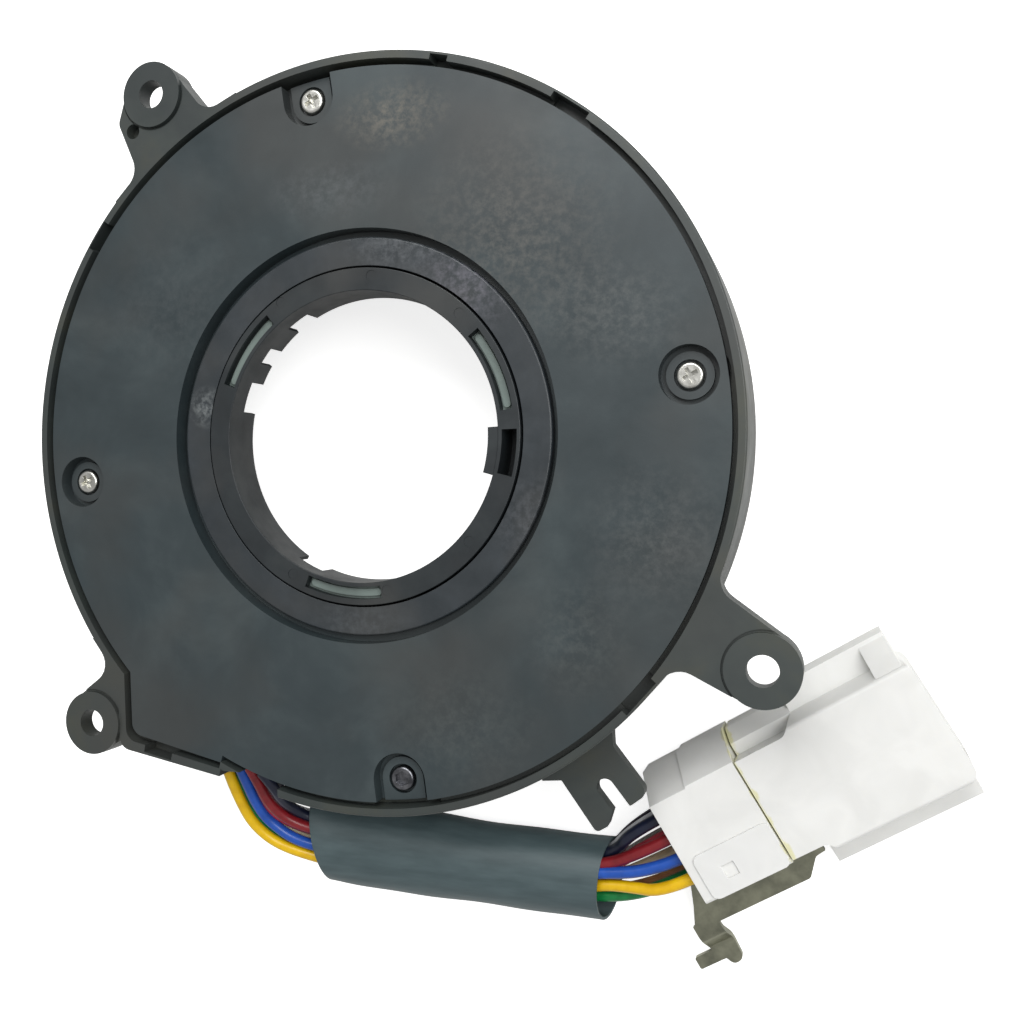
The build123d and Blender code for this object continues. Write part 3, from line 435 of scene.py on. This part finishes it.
ears = [
    ((122.5, 7.68), [(126.1, 10.67), (129.1, 8.23, 1.5), (131.45, 0, 3.0), (137.5, 0), (137.5, -4),
                     (110.4, -4), (110.4, 0), (116.4, 0, 3.0), (118.0, 7.32)]),
    ((224.6, 8.52), [(220.1, 8.68), (220.56, 0, 3.0), (214.6, 0), (214.6, -4), (229.8, -4), (230.8, 4.5),
                     (227.3, 12.54)]),
    ((331.6, 9.88), [(338.2, 0.05, 3.0), (344.2, 0), (344.2, -4), (320.2, -4), (320.2, 0), (326.15, 0.1, 3.0),
                     (327.2, 10.06), (335.9, 10.54)]),
]
hook = [(298.4, -0.81), (298.2, 0.88), (300.8, 2.0), (301.5, 10.6, 0.7), (303.2, 10.6, 0.5),
        (304.9, 9.0, 0.5), (307.2, 9.8, 1.2), (309.8, 9.8, 1.2), (310.0, 1.88, 0.6), (311.4, 0.07),
        (308.8, -2.77)]
screws = {"right": (8.8, 5.0, False), "top": (98.6, 3.0, True), "left": (187.7, 5.2, False),
          "bottom": (277.8, 3.1, True)}
print("ears:", len(ears), "screws:", ", ".join(screws))

# %% [markdown]
# The whole outline is pulled up first, then the room for the flat cable and the seat of the cover are cut
# out of it, as the tool's core leaves them in the moulding. The screws' posts stand on the floor. Small
# notches in the lip let the tool's slides form the snap hooks below.

# %% The case
def pocket(name, radius, low, high):
    """Room around a cover screw; some run out to the rim."""
    angle, inset, open_to_rim = screws[name]
    x, y = polar(angle, cover_radius - inset)
    shape = drum(radius, low, high, x, y)
    if open_to_rim:
        run_out = slab(cover_radius - inset, cover_radius + 4, -radius, radius, low, high, turned(angle))
        shape = join(shape, run_out)
    return shape


def make_case():
    wall = [(0, floor_bottom), (case_radius, floor_bottom), (case_radius, rim_top, 0.3), (0, rim_top)]
    case = join(lathe(wall), prism(house(0), floor_bottom, rim_top),
                ring(case_radius, 52.8, 9.4, floor_bottom + 0.5))
    bosses = [on_case([centre])[0] for centre, corners in ears]
    for (x, y), (centre, corners) in zip(bosses, ears):
        ear = join(prism(on_case(corners), rim_top - 4, rim_top),
                   drum(5.0, rim_top - 4.01, rim_top + 0.5, x, y))
        cut(ear, lathe([(4.98, rim_top - 0.35), (5.35, rim_top - 0.35), (5.35, 26), (4.98, 26)], steps=60,
                       x=x, y=y))
        join(case, ear)
    (x, y), (end_x, end_y) = on_case([(305.7, 5.86), (306.0, 12.05)])
    slot = turned(degrees(atan2(end_y - y, end_x - x)), x, y)
    case = join(case, cut(prism(on_case(hook), 16.3, 18.5), drum(1.25, 16, 19, x, y),
                          slab(0, 8, -1.25, 1.25, 16, 19, slot)))
    cut(case, drum(wall_radius, floor_top, cover_bottom + 1, steps=256),
        prism(house(3.4), floor_top, cover_bottom + 1),
        drum(lip_radius, cover_bottom, 26, steps=256), prism(house(1.2), cover_bottom, 26),
        drum(35.4, 11, 13, steps=192))
    for name, (angle, inset, open_to_rim) in screws.items():
        x, y = polar(angle, cover_radius - inset)
        join(case, drum(3.0, 12, 21.3, x, y))
        room = boolean(pocket(name, 5.3, 21.1, 22.6), "INTERSECT", [drum(54.21, 21, 23, steps=256)])
        cut(case, room, drum(1.2, 11, 22, x, y, steps=24))
    for x, y in bosses:
        cut(case, drum(2.12, 20, 27, x, y), drum(3.4, 20, 22.6, x, y))
    x, y = on_case([(128.0, 5.51)])[0]
    cut(case, drum(1.15, 23.0, 26, x, y, steps=32))
    for angle, width in [(54.2, 6.0), (76.2, 2.7), (143.7, 4.9), (319.5, 6.0)]:
        cut(case, slab(53.4, 55.0, -width / 2, width / 2, 21.8, 27, turned(angle)))
    x, y = on_case([(235.4, 3.6)])[0]
    cut(case, slab(-2.5, 2.5, -0.8, 0.8, 21.8, 28, turned(-11.0, x, y)),
        slab(-27.44, -16.64, -58, -45, floor_top, 20.6), slab(-22.34, -12.64, -57.3, -50.7, 17.6, 30))
    return case


case = finished(make_case(), "case", "stator", ["stator_case"], case_finish, rounding=0)

# %% [markdown]
# The cover is a plate that drops into the lip. Its four screw pockets are cups with a raised pad, so that
# the screw heads stay below the rim; two of them run out to the edge. A hub wall and a lip below it hold
# the rotor.

# %% The cover
def make_cover():
    cover = join(drum(cover_radius, cover_bottom, cover_top, steps=256),
                 prism(house(2.0), cover_bottom, cover_top), drum(31.75, 20.2, 23.5, steps=256))
    for name, (angle, inset, open_to_rim) in screws.items():
        cup = boolean(pocket(name, 5.0, 21.1, 23.5), "INTERSECT", [drum(53.38, 20, 26, steps=256)])
        pad = boolean(pocket(name, 3.2, 21.8, 23.0), "INTERSECT", [drum(53.36, 20, 26, steps=256)])
        x, y = polar(angle, cover_radius - inset)
        join(cover, cup)
        cut(cover, pocket(name, 4.0, 22.1, 27))
        join(cover, pad)
        cut(cover, drum(2.15, 22.1, 27, x, y, steps=48), drum(1.2, 20, 27, x, y, steps=24))
    return cut(cover, lathe([(0, 19), (27.4, 19), (27.4, 21.6), (30.25, 21.6), (30.25, 27), (0, 27)]))


cover = finished(make_cover(), "cover", "stator", ["rear_cover"], cover_finish, rounding=0)

# %% [markdown]
# A screw is turned and pressed: its head comes from the lathe with a rounded edge, and the drive is punched
# in. Three have a cross recess, the one at the bottom a hexagon. The shank is plain here, because its
# thread is inside.

# %% The screws
def make_screw(name, angle, inset):
    x, y = polar(angle, cover_radius - inset)
    screw = lathe([(0, 14.6), (1.05, 14.6), (1.05, 22.1), (1.85, 22.1), (1.85, 23.4, 0.45), (0, 23.4)],
                  steps=64, x=x, y=y)
    if name == "bottom":
        return cut(screw, drum(1.1, 22.6, 24, x, y, steps=6))
    return cut(screw, *[slab(-1.1, 1.1, -0.3, 0.3, 22.6, 24, turned(angle + a, x, y)) for a in (20, 110)])


for name, (angle, inset, open_to_rim) in screws.items():
    finished(make_screw(name, angle, inset), "screw_" + name, "stator", ["cover_screw_" + name],
             black_oxide if name == "bottom" else zinc, rounding=0.06)

# %% [markdown]
# The hub's rings are turned shapes. The retaining sleeve has a flange that shows as the broad dark ring.
# The cam ring is a channel, open below: its top has three slots for the claws of the clip ring, a pocket
# with the tab that drives the cam, and notches in its lower edge. Round ejector marks are pressed 0.05 mm
# into its face.

# %% The hub
flange = lathe([(24.3, 16.2), (26.8, 16.2), (26.8, 21.8), (29.2, 21.8), (29.2, 23.4, 0.35), (25.0, 23.4),
                (25.0, 16.4), (24.3, 16.4)])
finished(flange, "sleeve_flange", "rotor", ["retaining_sleeve"], rotor_finish, rounding=0.1)


def make_cam_ring():
    cam = lathe([(21.4, 16.5), (21.95, 16.5), (21.95, 22.1), (24.2, 22.1), (24.2, 16.5), (24.7, 16.5),
                 (24.7, 23.7, 0.12), (21.4, 23.7, 0.12)])
    marks = [(-12.5, 20.3), (15.7, 17.2), (2.2, 23.4), (17.2, -15.1), (4.6, -22.4), (-10.6, -20.4)]
    cut(cam, *[drum(0.8, 23.62, 24.5, x, y, steps=32) for x, y in marks])
    cut(cam, *[ring(23.8, 21.98, 21.5, 25, angle, 30.5, 31) for angle in (24, 144, 264)],
        ring(24.17, 21.99, 21.4, 25, -6.2, 16.1, 17))
    for angle, span in [(123.0, 9.5), (143.0, 7.0), (162.0, 12.0), (243.5, 11.0)]:
        half = 23.05 * radians(span / 2)
        cut(cam, slab(21, 25.2, -half, half, 15.5, 20.0, turned(angle)))
    tab = join(ring(21.7, 19.9, 16.48, 23.5, -6.2, 18.5, 19), ring(24.5, 21.5, 16.52, 18.0, -6.2, 18.0, 23))
    return join(cam, tab, *[ring(24.97, 24.4, 16.55, 19.0, angle, 5.0, 7) for angle in (84, 204, 324)])


finished(make_cam_ring(), "cam", "rotor", ["cam_ring"], cam_finish, rounding=0)


def make_clip_ring():
    clip = ring(24.1, 22.05, 21.1, 22.1)
    for angle in (24, 144, 264):
        ends = [polar(angle + side * 13.0, 22.875) for side in (-1, 1)]
        claw = join(ring(23.4, 22.35, 21.5, 22.7, angle, 26.0, 32),
                    *[drum(0.52, 21.4, 22.69, *end, 24) for end in ends])
        join(clip, claw)
    return cut(clip, ring(25.5, 20.0, 20, 24, -6.2, 18.5, 24))


finished(make_clip_ring(), "claws", "rotor", ["clip_ring"], acetal, rounding=0)


def make_rotor():
    rotor = lathe([(33.2, 0), (34.8, 0), (34.8, 8.6), (52.2, 8.6), (52.2, 10.6), (34.8, 10.6), (34.8, 21.0),
                   (33.2, 21.0), (33.2, 16.2), (25.1, 16.2), (25.1, 14.6), (33.2, 14.6)])
    return join(rotor, *[slab(27.3, 34.0, -0.5, 0.5, 16.0, 17.8, turned(30 * k + 15)) for k in range(12)])


finished(make_rotor(), "rotor", "rotor", ["front_rotor"], rotor_finish, rounding=0.12)


def make_socket(length, angle):
    place = turned(angle - 90, *polar(angle, 43.2))
    sizes = [(length / 2, 5.5, 1.6), (length / 2 - 1.2, 4.3, 1.0)]
    outer, inner = [[(-x, -y, r), (x, -y, r), (x, y, r), (-x, y, r)] for x, y, r in sizes]
    return cut(prism(outer, 0, 8.6, place), prism(inner, -1, 7.4, place))


finished(make_socket(17.0, 95.0), "socket_airbag", "rotor", ["airbag_socket"], rotor_finish)
finished(make_socket(26.0, 262.0), "socket_switch", "rotor", ["switch_socket"], rotor_finish)

# %% [markdown]
# The connector has a frame of its own, turned by 31.8 degrees: u runs along it, v across it and w up. Most
# of it is drawn as a section (v, w) and pulled out along u, as such housings have one section for a long
# stretch. The rest is cut from above. The far side slopes, because the latch of the mating half rides up on
# it.

# %% The connector
along_u = Matrix(((0, 0, 1, 0), (1, 0, 0, 0), (0, 1, 0, 0), (0, 0, 0, 1)))


def along(u0, u1, section):
    return prism(section, u0, u1, along_u)


def bracket_slot():
    return slab(-27.1, 3.1, -27.1, -6.3, 2.6, 3.8)


def make_main_housing():
    core = along(0, 27.1, [(-9.0, 0), (-9.0, 12.7, 0.6), (8.3, 12.7, 0.6), (9.2, 7.4), (9.2, 0)])
    boolean(core, "INTERSECT", [prism([(0, -9.0), (27.1, -9.0, 1.8), (27.1, 9.2, 1.8), (0, 9.2)], -1, 14)])
    cut(core, prism([(-1, 7.4), (7.8, 7.4, 1.5), (9.7, 9.2), (9.7, 28), (-1, 28)], 8.0, 14),
        prism([(-1, -7.8), (5.2, -7.8, 1.2), (7.1, -10), (-1, -10)], -1, 14))
    join(core, along(0, 9.7, [(0, 0), (0, 8.0), (9.2, 8.0), (11.2, 5.2), (11.2, 0)]),
         slab(9.7, 26.2, 0, 13.1, 0, 7.4), slab(4.2, 26.2, -12.6, 0, 0, 5.2),
         along(22.4, 26.2, [(0, 0), (0, 12.1), (8.3, 12.1), (12.5, 7.4), (12.1, 0)]))
    return cut(core, slab(11.1, 28.1, -7.0, 7.3, 1.6, 11.2), bracket_slot())


def make_wire_housing():
    body = join(along(-14, -0.25, [(-8.2, 0.6), (-8.2, 12.7, 0.6), (7.3, 12.7), (11.2, 6.2), (11.2, 0.6)]),
                along(-8, -0.25, [(0, 0.6), (0, 12.7), (7.6, 12.7), (11.5, 6.2), (11.5, 0.6)]))
    cavities = []
    for column in range(4):
        for layer in (-1, 0, 1):
            cavity = drum(1.25, -15, -8, steps=32)
            cavity.data.transform(along_u @ Matrix.Translation(((1.5 - column) * 3.2, 6.35 + layer * 3.2, 0)))
            cavities.append(cavity)
    return cut(body, bracket_slot(), *cavities)


def make_latch():
    flap = prism([(-12.55, -8.2, 1.1), (-0.25, -8.2, 1.1), (-0.25, -1.5, 1.1), (-12.55, -1.5, 1.1)],
                 12.7, 13.05)
    return cut(flap, slab(-9.25, -7.35, -6.15, -4.25, 12, 14))


main_housing = finished(make_main_housing(), "connector_header", "stator", ["main_housing"], nylon, 0.3,
                        connector_place)
wire_housing = finished(make_wire_housing(), "connector_wire_side", "stator", ["wire_housing"], nylon, 0.2,
                        connector_place)
latch = finished(make_latch(), "connector_latch", "stator", ["latch_cover"], nylon, 0.1, connector_place)

# %% [markdown]
# The bracket is cut from 1 mm sheet and bent: a plate that slides into the connector's slot, an edge folded
# down, and a curved tab with a foot. Bending leaves round outer edges, and cutting leaves a thin burr that
# shines.

# %% The bracket
def make_bracket():
    plate = prism([(-16.9, -6.4), (-18.4, -9.8, 2.0), (-20.3, -13.4, 0.3), (-0.9, -13.4, 0.8),
                   (1.4, -11.0, 0.8), (3.0, -10.8), (3.0, -6.4)], 2.7, 3.7)
    fold = along(-19.6, -1.3, [(-13.4, 0), (-12.4, 0), (-12.4, 3.7), (-13.4, 3.7, 0.8)])
    tab = along(-20.2, -16.2, [(-12.6, 3.7), (-14.9, 3.7, 2.0), (-17.0, 1.2, 1.0), (-17.8, 1.2), (-17.8, 0.2),
                               (-16.4, 0.2, 1.6), (-14.3, 2.7, 1.0), (-12.6, 2.7)])
    foot = prism([(-23.2, -19.3, 0.3), (-18.8, -19.3), (-18.2, -20.6, 0.9), (-16.4, -20.4, 1.0),
                  (-16.2, -17.4), (-23.2, -17.4, 0.3)], 0.2, 1.2)
    return join(plate, fold, tab, foot)


bracket = finished(make_bracket(), "bracket", "stator", ["steel_bracket"], zinc_sheet, 0.12, connector_place)

# %% [markdown]
# Eleven wires leave the corner of the case, turn a quarter circle, run through the sleeve and fan out into
# the connector. Each is a NURBS curve on the route points of the CAD model. Where the photograph shows the
# wires, a few points are moved or added, since real wires cross and bulge. The spline's order is
# set after its points are added, because before, it stays at straight runs.

# %% The wires
wire_diameter, wire_pitch, cavity_pitch = 1.8, 2.3, 3.2
corner_x, corner_y, first_turn, bundle_turn = -12.54, -54.75, 6.4, 9.85
sleeve_start, sleeve_span = -11.2, 45.0
wire_places = {
    "wire_navy": (0, 1), "wire_white_thin": (0, 0), "wire_black": (0, -1), "wire_dark_red": (1, 1),
    "wire_pink": (1, 0), "wire_white": (1, -1), "wire_blue": (2, 1), "wire_cream": (2, -1),
    "wire_yellow": (3, 1), "wire_green": (3, 0), "wire_brown": (3, -1),
}
by_hand = {
    "wire_yellow": ([(-25.6, -52.6, 17.6), (-24.4, -58.6, 15.2), (-23.2, -62.6, 13.2), (-19.8, -65.9, 11.4),
                     (-13.5, -67.6, 10.4)], [(33.0, -67.3, 8.2), (37.5, -67.0, 8.6)]),
    "wire_brown": ([(-26.2, -53.4, 13.2), (-26.0, -58.8, 12.0), (-24.4, -64.0, 9.2), (-18.5, -68.3, 6.9)],
                   []),
    "wire_blue": ([(-22.2, -54.2, 17.4), (-21.9, -57.8, 15.4), (-20.6, -61.6, 13.3), (-15.5, -65.3, 11.6)],
                  [(31.0, -65.4, 9.3)]),
    "wire_black": ([(-18.4, -54.6, 14.4), (-18.6, -57.6, 12.2), (-17.0, -61.2, 10.0)], []),
    "wire_dark_red": ([(-19.8, -54.4, 17.6), (-19.4, -57.6, 15.8), (-17.6, -60.6, 13.6),
                       (-13.6, -62.6, 12.0)], [(33.0, -64.4, 8.8)]),
    "wire_navy": ([(-17.2, -54.4, 17.8), (-17.2, -57.2, 15.4), (-15.8, -60.0, 12.2), (-12.2, -61.9, 10.4)],
                  [(30.5, -63.8, 7.3), (35.5, -62.2, 7.5)]),
    "wire_green": ([(-25.0, -54.0, 15.4), (-24.0, -60.0, 13.2), (-22.0, -64.2, 10.9), (-17.5, -67.2, 9.0)],
                   [(32.5, -69.9, 6.2), (37.5, -69.0, 6.4)]),
}


def sleeve_axis(x):
    rest = (1 - (x - sleeve_start) / sleeve_span) ** 2
    return -67.1 + 2.5 * rest, 5.6 + 3.0 * rest


def wire_route(name):
    column, layer = wire_places[name]
    turn, rise = first_turn + column * wire_pitch, layer * wire_pitch
    share = tan(radians(22.5)) * turn
    points = [(corner_x - turn, corner_y + share, 16.35 + rise),
              (corner_x - turn, corner_y - share, 14.65 + rise),
              (corner_x - share, corner_y - turn, 10.05 + rise)]
    middle = []
    for x in (-5.0, 8.0, 21.0, 33.5):
        y, z = sleeve_axis(x)
        squeeze = 1 - 0.1 * (x - sleeve_start) / sleeve_span
        middle.append((x, y - (turn - bundle_turn) * squeeze, z + rise))
    v, w = (1.5 - column) * cavity_pitch, 6.35 + layer * cavity_pitch
    ends = [tuple(connector_place @ Vector((u, v, w))) for u in (-19.6, -13.1)]
    left, right = by_hand.get(name, (points[1:], []))
    return points[:1] + left + middle[:3] + (right or middle[3:]) + ends


def make_wire(name):
    route = [Vector(point) / 1000 for point in wire_route(name)]
    curve = bpy.data.curves.new(name + "_cord", "CURVE")
    curve.dimensions = "3D"
    spline = curve.splines.new("NURBS")
    spline.points.add(len(route) - 1)
    for point, place in zip(spline.points, route):
        point.co = (*place, 1)
    spline.order_u = 3
    spline.use_endpoint_u = True
    spline.resolution_u = 24
    bare = bpy.data.meshes.new_from_object(bpy.data.objects.new("probe", curve))
    ends = [[bare.vertices[v].co for v in edge.vertices] for edge in bare.edges]
    length = sum((start - end).length for start, end in ends)
    spline.resolution_u = 12
    curve.bevel_depth = wire_diameter / 2000
    curve.bevel_resolution = 4
    curve.use_fill_caps = True
    curve.materials.append(wire_finishes[name])
    wire = bpy.data.objects.new(name + "_cord", curve)
    bpy.context.collection.objects.link(wire)
    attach(wire, "stator")
    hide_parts(name)
    print(name, "is %.1f mm long" % (length * 1000))
    return wire, route, length


wires = {name: make_wire(name) for name in wire_places}

# %% [markdown]
# The sleeve is a soft tube cut off at a slant. The bundle presses it oval, and it sags a little between the
# wires, so it is built from rings: one ellipse is extruded along the middle line, and each new ring is
# moved, sized and slanted. A Solidify modifier then gives the thin wall.

# %% The sleeve
def make_sleeve():
    bm = bmesh.new()
    ring_verts = bmesh.ops.create_circle(bm, cap_ends=False, segments=72, radius=1.0)["verts"]
    bmesh.ops.rotate(bm, verts=ring_verts, cent=(0, 0, 0), matrix=Matrix.Rotation(radians(90), 3, "Y"))
    edges, before, stations = bm.edges[:], Matrix.Identity(4), 48
    for index in range(stations + 1):
        share = index / stations
        x = -12.6 + 46.6 * share
        y, z = sleeve_axis(max(x, sleeve_start))
        slant = radians(14.0 * max(0, 1 - 2.5 * share) - 4.0 * share)
        tilt = radians(12.0 * share)
        sag = 0.16 * sin(7.0 * share + 0.6) + 0.08 * sin(19.0 * share)
        width, height = 6.95 - 0.75 * share + sag, 5.1 + 0.2 * share - 0.5 * sag
        place = (Matrix.Translation((x, y, z)) @ Matrix.Rotation(slant, 4, "Z")
                 @ Matrix.Rotation(-tilt, 4, "Y") @ Matrix.Diagonal((1, width, height, 1)))
        if index:
            pulled = bmesh.ops.extrude_edge_only(bm, edges=edges)["geom"]
            ring_verts = [g for g in pulled if isinstance(g, bmesh.types.BMVert)]
            edges = [g for g in pulled
                     if isinstance(g, bmesh.types.BMEdge) and all(v in ring_verts for v in g.verts)]
        bmesh.ops.transform(bm, verts=ring_verts, matrix=place @ before.inverted())
        before = place
    sleeve = to_object(bm)
    wall = sleeve.modifiers.new("wall", "SOLIDIFY")
    wall.thickness, wall.offset = 0.5, -1
    return settled(sleeve)


sleeve = finished(make_sleeve(), "sleeve", "stator", ["harness_sleeve"], sleeve_finish, rounding=0.12)

# %% [markdown]
# The floor is a pale sheet. To the camera it looks white, as the photograph's background does: the extra
# white is only for camera rays, so it adds no light to the object, and the shadow stays.

# %% Floor, light and world
def make_floor():
    bm = bmesh.new()
    bmesh.ops.create_grid(bm, x_segments=1, y_segments=1, size=1.5)
    floor = to_object(bm, "floor")
    material, tree, shader, place = start_material("paper_backdrop", 0.9)
    shader.inputs["Base Color"].default_value = linear("#f2f2f0")
    seen = add(tree, "LightPath", "Is Camera Ray")
    shader.inputs["Emission Color"].default_value = (1, 1, 1, 1)
    strength = add(tree, "Math", operation_="MULTIPLY", _0=seen, _1=0.75)
    tree.links.new(strength, shader.inputs["Emission Strength"])
    floor.data.materials.append(material)


def lamp(name, place, target, size, power):
    data = bpy.data.lights.new(name, "AREA")
    data.shape, data.size, data.energy = "DISK", size, power
    light = bpy.data.objects.new(name, data)
    bpy.context.collection.objects.link(light)
    light.location = place
    light.rotation_euler = (Vector(target) - Vector(place)).to_track_quat("-Z", "Y").to_euler()


make_floor()
lamp("softbox_right", (0.36, 0.14, 0.55), (0.02, 0.0, 0.02), 0.40, 2.2)
lamp("softbox_top", (-0.02, 0.40, 0.55), (0.0, 0.02, 0.02), 0.40, 2.0)
world = bpy.data.worlds.new("studio")
world.use_nodes = True
world.node_tree.nodes["Background"].inputs["Color"].default_value = linear("#ffffff")
world.node_tree.nodes["Background"].inputs["Strength"].default_value = 0.42
bpy.context.scene.world = world

# %% [markdown]
# Last, every CAD node that still shows gets its finish.

# %% Finishes of the CAD nodes, and the end
node_finishes = {
    "airbag_pins": tinned, "switch_pins": tinned, "header_pins": tinned, "wire_contacts": tinned,
    "crimp_terminals": tinned, "ribbon_cable": laminate, "lower_slide_sheet": film, "upper_slide_sheet": film,
    "rotor_terminal_block": block_finish, "stator_terminal_block": block_finish,
}
for name, finish in node_finishes.items():
    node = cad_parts[name]
    node.data.materials.clear()
    node.data.materials.append(finish)
